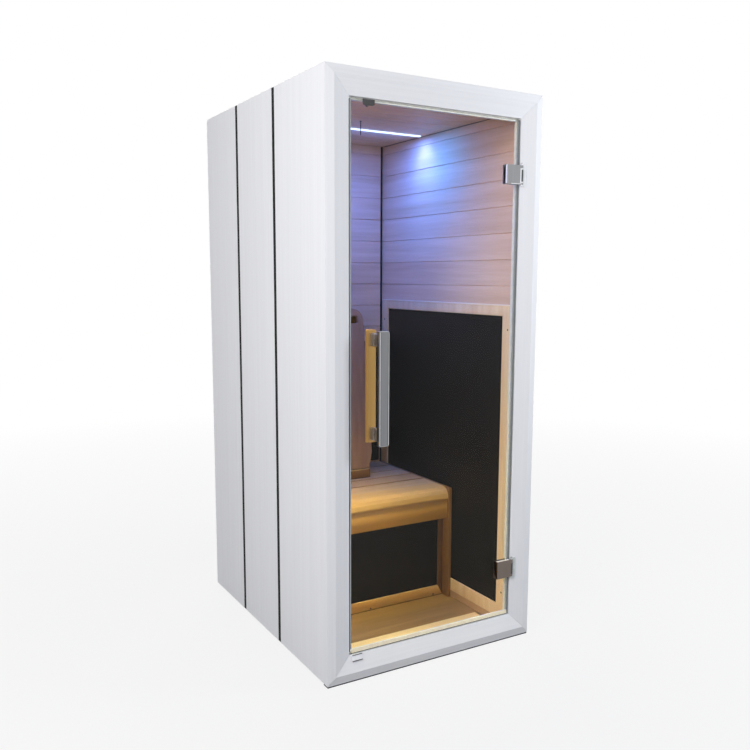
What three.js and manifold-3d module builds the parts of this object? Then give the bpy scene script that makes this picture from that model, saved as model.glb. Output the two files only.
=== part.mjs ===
// One-person infrared sauna cabin, built as an assembly of named solids.
// Millimetres, +Z up. The origin is the middle of the plinth's underside, and the door faces -Y.

import * as THREE from "three";
import { mergeVertices } from "three/addons/utils/BufferGeometryUtils.js";
import Module from "manifold-3d";

const wasm = await Module();
wasm.setup();

// Shell
const WIDTH = 840;
const DEPTH = 1070; // rear face to the outer edge of the front frame
const SHELL_HEIGHT = 1950;
const PLINTH_HEIGHT = 7;
const PLINTH_FRONT_INSET = 8;
const PLINTH_SIDE_INSET = 30;
const PANEL_THICKNESS = 48;
const REAR_THICKNESS = 70;
const ROOF_THICKNESS = 38;
const FLOOR_THICKNESS = 6;
const REAR_SIDE_PANEL = 328; // lengths of the side panels along Y, the front one takes the rest
const MIDDLE_SIDE_PANEL = 332;
const SEAM_WIDTH = 14;
const SEAM_RECESS = 1;
const SEAM_EDGE_RADIUS = 1.5;
const TOP_REAR_RADIUS = 15;

// Front frame, a moulding with a ridge and a stop for the door
const FRAME_FACE = 85; // outer edge to the door opening
const FRAME_BEVEL = 28; // outer edge to the ridge
const FRAME_RIDGE = 8; // how far the ridge stands ahead of the outer edge
const FRAME_DROP = 8; // how far the opening's edge lies behind the outer edge
const FRAME_LIP = 2;
const FRAME_EDGE_RADIUS = 2;
const STOP_FACE = 9;
const STOP_DEPTH = 12;
const MITRE_GAP = 0.3;

// Boarded linings
const LINING_THICKNESS = 12;
const BOARD_COVER = 95;
const TOP_BOARD = 37; // the uppermost wall board is cut to this height
const WALL_GROOVE = { width: 5, floor: 1, depth: 3 };
const CORNER_STRIP_WIDTH = 12;
const CORNER_STRIP_RECESS = 4;

// Heaters and their wooden trims
const HEATER_THICKNESS = 8;
const HEATER_CLEARANCE = 0.4;
const TRIM_THICKNESS = 14;
const TRIM_FRONT_STILE = 82;
const TRIM_REAR_STILE = 52;
const TRIM_TOP_RAIL = 41;
const TRIM_BOTTOM_RAIL = 78;
const TRIM_TOE_HEIGHT = 28; // the foot of each side trim, set back as a skirting
const TRIM_TOE_RECESS = 2;
const SIDE_TRIM_HEIGHT = 1220;
const REAR_HEATER_HEIGHT = 556;
const REAR_HEATER_MARGIN = 8;
const CALF_STILE = 24;
const CALF_RAIL = 42;
const CALF_SETBACK = 28; // behind the apron's face
const CALF_TRIM_THICKNESS = 18;
const CALF_HEATER_RECESS = 4;

// Bench
const SEAT_HEIGHT = 465; // floor to the seat's top
const BENCH_DEPTH = 566;
const BENCH_CLEARANCE = 0.5; // to the side trims
const SEAT_THICKNESS = 28;
const SEAT_BOARD = 95;
const SEAT_SLOT = { width: 10, floor: 10, depth: 12 };
const NOSING_DEPTH = 95;
const NOSING_THICKNESS = 48;
const NOSING_OVERHANG = 6;
const NOSING_TOP_RADIUS = 38;
const NOSING_LOWER_RADIUS = 6;
const APRON_HEIGHT = 80;
const APRON_THICKNESS = 18;
const GABLE_THICKNESS = 12;
const GABLE_PROUD = 9; // ahead of the nosing

// Backrest that stands loose on the bench
const BACKREST_SEAT_DEPTH = 316; // bench front to the foot rail
const BACKREST_WIDTH = 350;
const BACKREST_LENGTH = 686;
const BACKREST_THICKNESS = 20;
const BACKREST_TILT = THREE.MathUtils.degToRad(8);
const BACKREST_TOP_RADIUS = 50;
const BACKREST_TAPER_WIDTH = 17;
const BACKREST_TAPER_HEIGHT = 65;
const BACKREST_EDGE_RADIUS = 3;
const SLOT_LENGTH = 296;
const SLOT_HEIGHT = 31;
const SLOT_RADIUS = 8;
const SLOT_FROM_TOP = 33;
const FOOT_LENGTH = 314;
const FOOT_DEPTH = 40;
const FOOT_HEIGHT = 38;
const FOOT_LEDGE = 7; // foot rail's front to the board's front
const PROP_SPACING = 150;
const PROP_THICKNESS = 20;
const PROP_HEIGHT = 400;
const PROP_REACH = 165; // along the seat behind the foot rail
const PROP_TIP = 24;

// Glass door
const GLASS_THICKNESS = 8;
const GLASS_RECESS = 2; // behind the opening's edge
const GLASS_CORNER_RADIUS = 6;
const DOOR_GAP = 4;
const GASKET_THICKNESS = 2;
const GASKET_WIDTH = 8;
const FIT = 0.3; // between pieces that rest on, or close against, each other

// Door hinges
const HINGE_FROM_TOP = 189; // opening's edge to the hinge's middle
const HINGE_FROM_BOTTOM = 180;
const HINGE_PIVOT_OUT = 3; // past the opening's side edge
const HINGE_PIVOT_FORWARD = 6; // ahead of the opening's edge
const LEAF_WIDTH = 67; // from the pivot along the glass
const LEAF_HEIGHT = 65;
const LEAF_FRONT_THICKNESS = 11;
const LEAF_REAR_THICKNESS = 4;
const LEAF_CORNER_RADIUS = 3;
const LEAF_ARM_SETBACK = 2; // the arm's rear stays this far ahead of the opening's edge
const GLASS_NOTCH_DEPTH = 14;
const GLASS_NOTCH_HEIGHT = 40;
const NOTCH_CLEARANCE = 0.5;
const REAR_PLATE_CLEARANCE = 4; // to the door stop
const KNUCKLE_RADIUS = 4.5; // the leaf's knuckle is as tall as the leaf, between the bracket's two
const KNUCKLE_ROOM = 1; // from the leaf's knuckle to the bracket's plate
const BRACKET_WIDTH = 17;
const BRACKET_THICKNESS = 3;
const BRACKET_START = 4; // opening's edge to the bracket's plate, along the frame's slope
const BRACKET_KNUCKLE_LENGTH = 6;
const PIN_RADIUS = 2.2;
const PIN_CLEARANCE = 0.15;
const PIN_HEAD_RADIUS = 3.5;
const PIN_HEAD_HEIGHT = 1.5;

// Door handles
const HANDLE_HEIGHT = 885; // opening's lower edge to the handles' middle
const HANDLE_FROM_EDGE = 101; // opening's side edge to the handles' middle
const HANDLE_LENGTH = 370;
const OUTER_HANDLE_WIDTH = 36;
const OUTER_HANDLE_DEPTH = 20;
const OUTER_HANDLE_RADIUS = 5;
const INNER_HANDLE_WIDTH = 36;
const INNER_HANDLE_DEPTH = 16;
const INNER_HANDLE_RADIUS = 6;
const HANDLE_END_RADIUS = 2;
const STANDOFF_SPACING = 308;
const OUTER_STANDOFF_LENGTH = 31; // glass to the handle
const INNER_STANDOFF_LENGTH = 23;
const STANDOFF_WIDTH = 16;
const STANDOFF_HEIGHT = 43;
const STANDOFF_RADIUS = 6;
const NECK_RADIUS = 5;
const NECK_CLEARANCE = 0.5;

// Door catches
const TOP_CATCH_FROM_EDGE = 49;
const TOP_CATCH_WIDTH = 40;
const TOP_CATCH_HEIGHT = 18;
const TOP_CATCH_THICKNESS = 4;
const TOP_CATCH_RADIUS = 7;
const CATCH_STUD_RADIUS = 3;
const CATCH_BUTTON_RADIUS = 5;
const CATCH_BUTTON_THICKNESS = 3;
const SILL_CATCH_FROM_EDGE = 8;
const SILL_CATCH_WIDTH = 38;
const SILL_CATCH_LENGTH = 21; // down the sill's slope
const SILL_CATCH_START = 2;
const SILL_CATCH_THICKNESS = 2;
const SILL_CATCH_RIB = 2;

// Light, probe and controls
const LIGHT_WIDTH = 10;
const LIGHT_HEIGHT = 5;
const LIGHT_FROM_REAR = 331; // rear wall to the bar's middle
const LIGHT_END_GAP = 18;
const LIGHT_RADIUS = 2;
const PROBE_X = -18;
const PROBE_FROM_REAR = 479;
const PROBE_LENGTH = 50;
const PROBE_RADIUS = 1.5;
const PROBE_ROSETTE_RADIUS = 4;
const PROBE_ROSETTE_HEIGHT = 2;
const CONTROL_WIDTH = 120;
const CONTROL_HEIGHT = 150;
const CONTROL_THICKNESS = 14;
const CONTROL_RADIUS = 8;
const CONTROL_FROM_FRONT = 170; // inner face of the front frame to the panel's near edge
const CONTROL_ABOVE_FLOOR = 1304;
const DISPLAY_WIDTH = 92;
const DISPLAY_HEIGHT = 56;
const DISPLAY_DEPTH = 1;
const DISPLAY_FROM_TOP = 18;
const BUTTON_NAMES = ["power_button", "warmer_button", "cooler_button"];
const BUTTON_PITCH = 32;
const BUTTON_RADIUS = 9;
const BUTTON_CLEARANCE = 0.3;
const BUTTON_PROUD = 2.5;
const BUTTON_TRAVEL = 1.5;
const BUTTON_DEPTH = 5;
const BUTTON_FROM_BOTTOM = 34;
const POWER_UNIT_WIDTH = 300;
const POWER_UNIT_DEPTH = 120;
const POWER_UNIT_HEIGHT = 180;
const POWER_UNIT_RADIUS = 4;
const GLAND_FROM_SIDE = 130;
const GLAND_HEIGHT = 150;
const GLAND_FLANGE_RADIUS = 15;
const GLAND_FLANGE_LENGTH = 4;
const GLAND_BODY_RADIUS = 10;
const GLAND_BODY_LENGTH = 12;
const GLAND_BORE_RADIUS = 4.5;

// Facets
const ROUND_SIDES = 24;
const ARC_STEPS = 4;
const EDGE_STEPS = 2;
const MERGE_DISTANCE = 1e-4;
const OVERRUN = 1; // how far a cutter, or a piece that is joined on, runs past a face

// Planes of the shell
const right = WIDTH / 2;
const rear = DEPTH / 2;
const front = -rear;
const bottom = PLINTH_HEIGHT;
const top = bottom + SHELL_HEIGHT;
const wallInside = right - PANEL_THICKNESS;
const rearInside = rear - REAR_THICKNESS;
const roofInside = top - ROOF_THICKNESS;

// Planes of the door and of the front frame
const openingRight = right - FRAME_FACE;
const openingBottom = bottom + FRAME_FACE;
const openingTop = top - FRAME_FACE;
const openingEdge = front + FRAME_DROP;
const panelFront = front + FRAME_LIP;
const glassFront = openingEdge + GLASS_RECESS;
const glassRear = glassFront + GLASS_THICKNESS;
const stopFront = glassRear + FIT + GASKET_THICKNESS;
const frameBack = stopFront + STOP_DEPTH;
const glassRight = openingRight - DOOR_GAP;
const glassBottom = openingBottom + DOOR_GAP;
const glassTop = openingTop - DOOR_GAP;
const slopeAngle = Math.atan2(FRAME_DROP + FRAME_RIDGE, FRAME_FACE - FRAME_BEVEL);

// Planes of the room
const roomRight = wallInside - LINING_THICKNESS;
const roomRear = rearInside - LINING_THICKNESS;
const floorTop = bottom + FLOOR_THICKNESS;
const ceiling = roofInside - LINING_THICKNESS;
const rearSide = roomRight - CORNER_STRIP_WIDTH;
const trimFace = wallInside - TRIM_THICKNESS;

// Planes of the bench
const benchFront = roomRear - BENCH_DEPTH;
const seatTop = floorTop + SEAT_HEIGHT;
const seatBottom = seatTop - SEAT_THICKNESS;
const nosingRear = benchFront + NOSING_DEPTH;
const nosingBottom = seatTop - NOSING_THICKNESS;
const apronFront = benchFront + NOSING_OVERHANG;
const apronRear = apronFront + APRON_THICKNESS;
const apronBottom = nosingBottom - APRON_HEIGHT;
const benchSide = trimFace - BENCH_CLEARANCE;
const gableInside = benchSide - GABLE_THICKNESS;
const gableFront = benchFront - GABLE_PROUD;
const sideTrimTop = floorTop + SIDE_TRIM_HEIGHT;

// Which plane coordinates an outline has, by the axis that it is extruded along
const AXES = {
  x: { across: ["y", "z"], swapped: false },
  y: { across: ["x", "z"], swapped: true },
  z: { across: ["x", "y"], swapped: false },
};

const cabin = new THREE.Group();
cabin.name = "infrared_sauna_cabin";

const finishes = {
  white: { color: 0xe9e9ee, roughness: 0.45, metalness: 0 },
  black: { color: 0x16161a, roughness: 0.6, metalness: 0 },
  wood: { color: 0xd8a866, roughness: 0.55, metalness: 0 },
  darkWood: { color: 0x8a5a44, roughness: 0.6, metalness: 0 },
  heater: { color: 0x202022, roughness: 0.35, metalness: 0 },
  glass: { color: 0xdfeeee, roughness: 0.05, metalness: 0, transparent: true, opacity: 0.25 },
  gasket: { color: 0xc9c9c9, roughness: 0.5, metalness: 0 },
  steel: { color: 0x9a9da3, roughness: 0.3, metalness: 1 },
  aluminium: { color: 0x9aa0a8, roughness: 0.35, metalness: 1 },
  chrome: { color: 0xc8ccd0, roughness: 0.12, metalness: 1 },
  darkPlastic: { color: 0x3a3a3c, roughness: 0.5, metalness: 0 },
  light: { color: 0xf2f6ff, roughness: 0.3, metalness: 0, emissive: 0xdfe8ff },
  grey: { color: 0x8d9096, roughness: 0.5, metalness: 0.2 },
};

function group(parent = cabin) {
  const made = new THREE.Group();
  parent.add(made);
  return made;
}

function add(parent, name, geometry, finish) {
  const mesh = new THREE.Mesh(geometry, new THREE.MeshStandardMaterial(finishes[finish]));
  mesh.name = name;
  parent.add(mesh);
  return mesh;
}

// The points of a closed outline. A corner is [a, b], or [a, b, radius] where it is rounded.
function outline(corners) {
  const points = [];
  corners.forEach(([a, b, radius = 0], i) => {
    const corner = new THREE.Vector2(a, b);
    if (radius === 0) {
      points.push(corner);
      return;
    }
    const before = new THREE.Vector2(...corners.at(i - 1)).sub(corner).normalize();
    const after = new THREE.Vector2(...corners[(i + 1) % corners.length]).sub(corner).normalize();
    const half = Math.acos(before.dot(after)) / 2;
    const reach = radius / Math.tan(half);
    const middle = before.clone().add(after).normalize();
    const centre = corner.clone().addScaledVector(middle, radius / Math.sin(half));
    const start = corner.clone().addScaledVector(before, reach).sub(centre);
    const end = corner.clone().addScaledVector(after, reach).sub(centre);
    const turn = Math.atan2(start.cross(end), start.dot(end));
    for (let step = 0; step <= ARC_STEPS; step += 1) {
      const spoke = start.clone().rotateAround(new THREE.Vector2(), (turn * step) / ARC_STEPS);
      points.push(centre.clone().add(spoke));
    }
  });
  return points;
}

function rectangle([a0, a1], [b0, b1], radius = 0) {
  return outline([
    [a0, b0, radius],
    [a1, b0, radius],
    [a1, b1, radius],
    [a0, b1, radius],
  ]);
}

function circle(a, b, radius) {
  const points = [];
  for (let side = 0; side < ROUND_SIDES; side += 1) {
    const angle = (2 * Math.PI * side) / ROUND_SIDES;
    points.push(new THREE.Vector2(a + radius * Math.cos(angle), b + radius * Math.sin(angle)));
  }
  return points;
}

// An outline extruded along an axis between two planes, with its end edges rounded by edge.
function prism(axis, points, [from, to], { holes = [], edge = 0 } = {}) {
  const { across, swapped } = AXES[axis];
  const inPlane = (list) => {
    const flat = list.map((p) => (swapped ? new THREE.Vector2(p.y, p.x) : p.clone()));
    return THREE.ShapeUtils.isClockWise(flat) ? flat.reverse() : flat;
  };
  const shape = new THREE.Shape(inPlane(points));
  shape.holes = holes.map((hole) => new THREE.Path(inPlane(hole)));
  const length = to - from;
  const geometry = new THREE.ExtrudeGeometry(shape, {
    depth: length - 2 * edge,
    bevelEnabled: edge > 0,
    bevelThickness: edge,
    bevelSize: edge,
    bevelOffset: -edge,
    bevelSegments: EDGE_STEPS,
  });
  const place = geometry.getAttribute("position");
  for (let i = 0; i < place.count; i += 1) {
    const flat = [place.getX(i), place.getY(i)];
    if (swapped) flat.reverse();
    const along = place.getZ(i) + edge;
    const point = { [across[0]]: flat[0], [across[1]]: flat[1] };
    point[axis] = along;
    if (along < MERGE_DISTANCE) point[axis] = 0;
    point[axis] = along > length - MERGE_DISTANCE ? to : from + point[axis];
    place.setXYZ(i, point.x, point.y, point.z);
  }
  geometry.computeVertexNormals();
  return geometry;
}

function box(x, y, z) {
  return prism("z", rectangle(x, y), z);
}

function rod(axis, [a, b], radius, span) {
  return prism(axis, circle(a, b, radius), span);
}

function solidOf(geometry) {
  const bare = new THREE.BufferGeometry();
  bare.setAttribute("position", geometry.getAttribute("position"));
  if (geometry.index) bare.setIndex(geometry.index);
  const merged = mergeVertices(bare, MERGE_DISTANCE);
  return new wasm.Manifold(
    new wasm.Mesh({
      numProp: 3,
      vertProperties: merged.getAttribute("position").array,
      triVerts: new Uint32Array(merged.index.array),
    }),
  );
}

function geometryOf(solid) {
  const mesh = solid.getMesh();
  const geometry = new THREE.BufferGeometry();
  geometry.setAttribute("position", new THREE.BufferAttribute(mesh.vertProperties, mesh.numProp));
  geometry.setIndex(new THREE.BufferAttribute(mesh.triVerts, 1));
  geometry.computeVertexNormals();
  return geometry;
}

function join(...geometries) {
  return geometryOf(geometries.map(solidOf).reduce((whole, piece) => whole.add(piece)));
}

function cut(geometry, ...tools) {
  return geometryOf(tools.map(solidOf).reduce((whole, tool) => whole.subtract(tool), solidOf(geometry)));
}

function common(geometry, other) {
  return geometryOf(solidOf(geometry).intersect(solidOf(other)));
}

// The section of a boarded panel as [depth, along] pairs: a flat back, and a groove at each joint of the face.
function boardedSection(back, face, [low, high], joints, groove) {
  const inward = Math.sign(back - face);
  const points = [
    [back, high],
    [back, low],
    [face, low],
  ];
  for (const joint of joints) {
    points.push([face, joint - groove.width / 2]);
    points.push([face + inward * groove.depth, joint - groove.floor / 2]);
    points.push([face + inward * groove.depth, joint + groove.floor / 2]);
    points.push([face, joint + groove.width / 2]);
  }
  points.push([face, high]);
  return points;
}

// Joints a pitch apart, from the first one on, that leave room for their groove before the end.
function jointsBetween(first, end, pitch, groove) {
  const joints = [];
  const direction = Math.sign(end - first);
  for (let joint = first; direction * (end - joint) > groove.width; joint += direction * pitch) {
    joints.push(joint);
  }
  return joints.sort((a, b) => a - b);
}

// Side, as -1 for left and 1 for right, and the name that goes with it
const SIDES = [
  [-1, "left"],
  [1, "right"],
];

function sorted(a, b) {
  return a < b ? [a, b] : [b, a];
}

function buildBase(parent) {
  const plinthSide = right - PLINTH_SIDE_INSET;
  const plinthLength = [front + PLINTH_FRONT_INSET, rear - PLINTH_SIDE_INSET];
  add(parent, "base_plinth", box([-plinthSide, plinthSide], plinthLength, [0, PLINTH_HEIGHT]), "black");

  // The floor has a rail along its front that carries the sill.
  const railTop = bottom + PANEL_THICKNESS;
  const floorSection = outline([
    [panelFront, bottom],
    [rearInside, bottom],
    [rearInside, floorTop],
    [frameBack, floorTop],
    [frameBack, railTop],
    [panelFront, railTop],
  ]);
  add(parent, "floor_panel", prism("x", floorSection, [-wallInside, wallInside]), "wood");
}

function buildShell(parent) {
  const rearSeam = [rear - REAR_SIDE_PANEL - SEAM_WIDTH, rear - REAR_SIDE_PANEL];
  const frontSeamRear = rearSeam[0] - MIDDLE_SIDE_PANEL;
  const frontSeam = [frontSeamRear - SEAM_WIDTH, frontSeamRear];
  const height = [bottom, top];
  const seamEdge = SEAM_EDGE_RADIUS;

  for (const [side, name] of SIDES) {
    const outer = side * right;
    const inner = side * wallInside;
    const panel = ([y0, y1], edge0, edge1) => {
      const section = outline([
        [outer, y0, edge0],
        [outer, y1, edge1],
        [inner, y1],
        [inner, y0],
      ]);
      return prism("z", section, height);
    };
    const rearProfile = outline([
      [rearSeam[1], bottom],
      [rear, bottom],
      [rear, top, TOP_REAR_RADIUS],
      [rearSeam[1], top],
    ]);
    const rearBlank = panel([rearSeam[1], rear], seamEdge, 0);
    const rearPanel = common(rearBlank, prism("x", rearProfile, sorted(inner, outer)));
    add(parent, `${name}_panel_rear`, rearPanel, "white");
    add(parent, `${name}_panel_middle`, panel([frontSeam[1], rearSeam[0]], seamEdge, seamEdge), "white");
    add(parent, `${name}_panel_front`, panel([panelFront, frontSeam[0]], 0, seamEdge), "white");

    const strip = sorted(inner, outer - side * SEAM_RECESS);
    const stripHeight = [bottom, top - SEAM_RECESS];
    add(parent, `${name}_seam_rear`, box(strip, rearSeam, stripHeight), "black");
    add(parent, `${name}_seam_front`, box(strip, frontSeam, stripHeight), "black");
  }

  const between = [-wallInside, wallInside];
  const rearSection = outline([
    [rearInside, bottom],
    [rear, bottom],
    [rear, top, TOP_REAR_RADIUS],
    [rearInside, top],
  ]);
  add(parent, "rear_panel", prism("x", rearSection, between), "white");

  // The roof has a rail along its front that the head of the front frame closes against.
  const railBottom = top - PANEL_THICKNESS;
  const roofSection = outline([
    [panelFront, top],
    [panelFront, railBottom],
    [frameBack, railBottom],
    [frameBack, roofInside],
    [rearInside, roofInside],
    [rearInside, top],
  ]);
  add(parent, "roof_panel", prism("x", roofSection, between), "white");
}

// The four mitred members of the front frame, each with the same moulded profile.
function buildFrontFrame(parent) {
  const profile = outline([
    [0, panelFront],
    [0, front],
    [FRAME_BEVEL, front - FRAME_RIDGE, FRAME_EDGE_RADIUS],
    [FRAME_FACE, openingEdge, FRAME_EDGE_RADIUS],
    [FRAME_FACE, stopFront],
    [FRAME_FACE + STOP_FACE, stopFront],
    [FRAME_FACE + STOP_FACE, frameBack],
    [PANEL_THICKNESS, frameBack],
    [PANEL_THICKNESS, panelFront],
  ]);
  const nearEnd = (edge, inward) => edge + inward + MITRE_GAP;
  const farEnd = (edge, inward) => edge - inward - MITRE_GAP;
  // Each function turns a profile point, and which end it is at, into a place on the front.
  const members = {
    front_stile_left: (u, y, end) => [-right + u, y, end ? farEnd(top, u) : nearEnd(bottom, u)],
    front_stile_right: (u, y, end) => [right - u, y, end ? nearEnd(bottom, u) : farEnd(top, u)],
    front_head: (u, y, end) => [end ? farEnd(right, u) : nearEnd(-right, u), y, top - u],
    front_sill: (u, y, end) => [end ? nearEnd(-right, u) : farEnd(right, u), y, bottom + u],
  };
  for (const [name, place] of Object.entries(members)) {
    const geometry = new THREE.ExtrudeGeometry(new THREE.Shape(profile), { depth: 1, bevelEnabled: false });
    const points = geometry.getAttribute("position");
    for (let i = 0; i < points.count; i += 1) {
      points.setXYZ(i, ...place(points.getX(i), points.getY(i), points.getZ(i) > 0.5));
    }
    geometry.computeVertexNormals();
    add(parent, name, geometry, "white");
  }
}

function buildLinings(parent) {
  const topJoint = ceiling - TOP_BOARD;
  const sideHeight = [sideTrimTop, ceiling]; // the heaters' trims cover the wall below
  const sideJoints = jointsBetween(topJoint, sideTrimTop, BOARD_COVER, WALL_GROOVE);
  for (const [side, name] of SIDES) {
    const section = boardedSection(side * wallInside, side * roomRight, sideHeight, sideJoints, WALL_GROOVE);
    add(parent, `${name}_lining`, prism("y", outline(section), [frameBack, rearInside]), "wood");
  }

  const height = [floorTop, ceiling];
  const rearJoints = jointsBetween(topJoint, floorTop, BOARD_COVER, WALL_GROOVE);
  const rearSection = boardedSection(rearInside, roomRear, height, rearJoints, WALL_GROOVE);
  add(parent, "rear_lining", prism("x", outline(rearSection), [-rearSide, rearSide]), "wood");

  const ceilingLength = [frameBack, rearInside];
  const ceilingJoints = jointsBetween(roomRear - BOARD_COVER, frameBack, BOARD_COVER, WALL_GROOVE);
  const ceilingSection = boardedSection(roofInside, ceiling, ceilingLength, ceilingJoints, WALL_GROOVE);
  const turned = ceilingSection.map(([depth, along]) => [along, depth]);
  add(parent, "ceiling_lining", prism("x", outline(turned), [-wallInside, wallInside]), "wood");

  for (const [side, name] of SIDES) {
    const width = sorted(side * rearSide, side * roomRight);
    const depth = [roomRear + CORNER_STRIP_RECESS, rearInside];
    add(parent, `${name}_corner_strip`, box(width, depth, height), "black");
  }
}

function buildHeaters(parent) {
  const trimLength = [frameBack, roomRear];
  const trimHeight = [floorTop, sideTrimTop];
  const paneLength = [trimLength[0] + TRIM_FRONT_STILE, trimLength[1] - TRIM_REAR_STILE];
  const paneHeight = [trimHeight[0] + TRIM_BOTTOM_RAIL, trimHeight[1] - TRIM_TOP_RAIL];
  const inset = ([low, high]) => [low + HEATER_CLEARANCE, high - HEATER_CLEARANCE];

  for (const [side, name] of SIDES) {
    const wall = side * wallInside;
    const trimSpan = sorted(wall, side * trimFace);
    const heaterSpan = sorted(wall, wall - side * HEATER_THICKNESS);
    const holes = [rectangle(paneLength, paneHeight)];
    const blank = prism("x", rectangle(trimLength, trimHeight), trimSpan, { holes });
    const toe = box(
      sorted(side * (trimFace - OVERRUN), side * (trimFace + TRIM_TOE_RECESS)),
      [trimLength[0] - OVERRUN, trimLength[1] + OVERRUN],
      [floorTop - OVERRUN, floorTop + TRIM_TOE_HEIGHT],
    );
    add(parent, `${name}_heater_trim`, cut(blank, toe), "wood");
    add(parent, `${name}_heater`, box(heaterSpan, inset(paneLength), inset(paneHeight)), "heater");
  }

  const heaterSide = rearSide - REAR_HEATER_MARGIN;
  const rearHeight = [seatTop + REAR_HEATER_MARGIN, seatTop + REAR_HEATER_MARGIN + REAR_HEATER_HEIGHT];
  const rearSpan = [roomRear - HEATER_THICKNESS, roomRear];
  add(parent, "rear_heater", box([-heaterSide, heaterSide], rearSpan, rearHeight), "heater");

  // The calf heater's trim reaches up to the nosing, behind the apron.
  const calfSide = gableInside - CALF_STILE;
  const calfWidth = [-calfSide, calfSide];
  const calfHeight = [floorTop + CALF_RAIL, apronBottom];
  const calfFront = apronFront + CALF_SETBACK;
  const calfFrame = prism(
    "y",
    rectangle([-gableInside, gableInside], [floorTop, nosingBottom]),
    [calfFront, calfFront + CALF_TRIM_THICKNESS],
    { holes: [rectangle(calfWidth, calfHeight)] },
  );
  add(parent, "calf_heater_trim", calfFrame, "wood");
  const calfFace = calfFront + CALF_HEATER_RECESS;
  const calfHeater = box(inset(calfWidth), [calfFace, calfFace + HEATER_THICKNESS], inset(calfHeight));
  add(parent, "calf_heater", calfHeater, "heater");
}

function buildBench(parent) {
  const width = [-gableInside, gableInside];
  const seatJoints = jointsBetween(nosingRear + SEAT_BOARD, roomRear, SEAT_BOARD, SEAT_SLOT);
  const seatSection = boardedSection(seatBottom, seatTop, [nosingRear, roomRear], seatJoints, SEAT_SLOT);
  const turned = seatSection.map(([depth, along]) => [along, depth]);
  add(parent, "bench_seat", prism("x", outline(turned), width), "wood");

  const nosingSection = outline([
    [nosingRear, nosingBottom],
    [nosingRear, seatTop],
    [benchFront, seatTop, NOSING_TOP_RADIUS],
    [benchFront, nosingBottom, NOSING_LOWER_RADIUS],
  ]);
  add(parent, "bench_nosing", prism("x", nosingSection, width), "wood");
  add(parent, "bench_apron", box(width, [apronFront, apronRear], [apronBottom, nosingBottom]), "wood");

  for (const [side, name] of SIDES) {
    const span = sorted(side * gableInside, side * benchSide);
    add(parent, `bench_gable_${name}`, box(span, [gableFront, roomRear], [floorTop, seatTop]), "wood");
  }
}

function buildBackrest(parent) {
  const footFront = benchFront + BACKREST_SEAT_DEPTH;
  const footTop = seatTop + FOOT_HEIGHT;
  const boardFront = footFront + FOOT_LEDGE;
  const boardBottom = footTop + FIT + BACKREST_THICKNESS * Math.sin(BACKREST_TILT);
  const halfWidth = BACKREST_WIDTH / 2;

  const face = outline([
    [-halfWidth + BACKREST_TAPER_WIDTH, 0],
    [halfWidth - BACKREST_TAPER_WIDTH, 0],
    [halfWidth, BACKREST_TAPER_HEIGHT],
    [halfWidth, BACKREST_LENGTH, BACKREST_TOP_RADIUS],
    [-halfWidth, BACKREST_LENGTH, BACKREST_TOP_RADIUS],
    [-halfWidth, BACKREST_TAPER_HEIGHT],
  ]);
  const slotTop = BACKREST_LENGTH - SLOT_FROM_TOP;
  const slot = rectangle([-SLOT_LENGTH / 2, SLOT_LENGTH / 2], [slotTop - SLOT_HEIGHT, slotTop], SLOT_RADIUS);
  const board = prism("y", face, [0, BACKREST_THICKNESS], { holes: [slot], edge: BACKREST_EDGE_RADIUS });
  const tilted = group(parent);
  tilted.position.set(0, boardFront, boardBottom);
  tilted.rotation.x = -BACKREST_TILT;
  add(tilted, "backrest_board", board, "darkWood");

  // The stand is a foot rail with two props, whose front edges follow the board's leaning back.
  const behindBoard = (z) => {
    const fromBottom = z - boardBottom + BACKREST_THICKNESS * Math.sin(BACKREST_TILT);
    const lean = fromBottom * Math.tan(BACKREST_TILT);
    return boardFront + BACKREST_THICKNESS * Math.cos(BACKREST_TILT) + lean + FIT;
  };
  const footRear = footFront + FOOT_DEPTH;
  const foot = box([-FOOT_LENGTH / 2, FOOT_LENGTH / 2], [footFront, footRear], [seatTop, footTop]);
  const propTop = footTop + PROP_HEIGHT;
  const propRoot = footFront + FOOT_DEPTH / 2;
  const propOutline = outline([
    [propRoot, seatTop],
    [footRear + PROP_REACH, seatTop],
    [behindBoard(propTop) + PROP_TIP, propTop],
    [behindBoard(propTop), propTop],
    [behindBoard(footTop), footTop],
    [propRoot, footTop],
  ]);
  const props = [-1, 1].map((side) => {
    const middle = (side * PROP_SPACING) / 2;
    return prism("x", propOutline, [middle - PROP_THICKNESS / 2, middle + PROP_THICKNESS / 2]);
  });
  add(parent, "backrest_stand", join(foot, ...props), "darkWood");
}

const hingeHeights = {
  top: openingTop - HINGE_FROM_TOP,
  bottom: openingBottom + HINGE_FROM_BOTTOM,
};
const pivot = [openingRight + HINGE_PIVOT_OUT, openingEdge - HINGE_PIVOT_FORWARD];
const handleX = -openingRight + HANDLE_FROM_EDGE;
const handleZ = openingBottom + HANDLE_HEIGHT;
const standoffHeights = {
  top: handleZ + STANDOFF_SPACING / 2,
  bottom: handleZ - STANDOFF_SPACING / 2,
};
const topCatchLeft = -openingRight + TOP_CATCH_FROM_EDGE;
const topCatchMiddle = [topCatchLeft + TOP_CATCH_WIDTH / 2, openingTop - STOP_FACE - 2 * CATCH_BUTTON_RADIUS];

function span(middle, size) {
  return [middle - size / 2, middle + size / 2];
}

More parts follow.
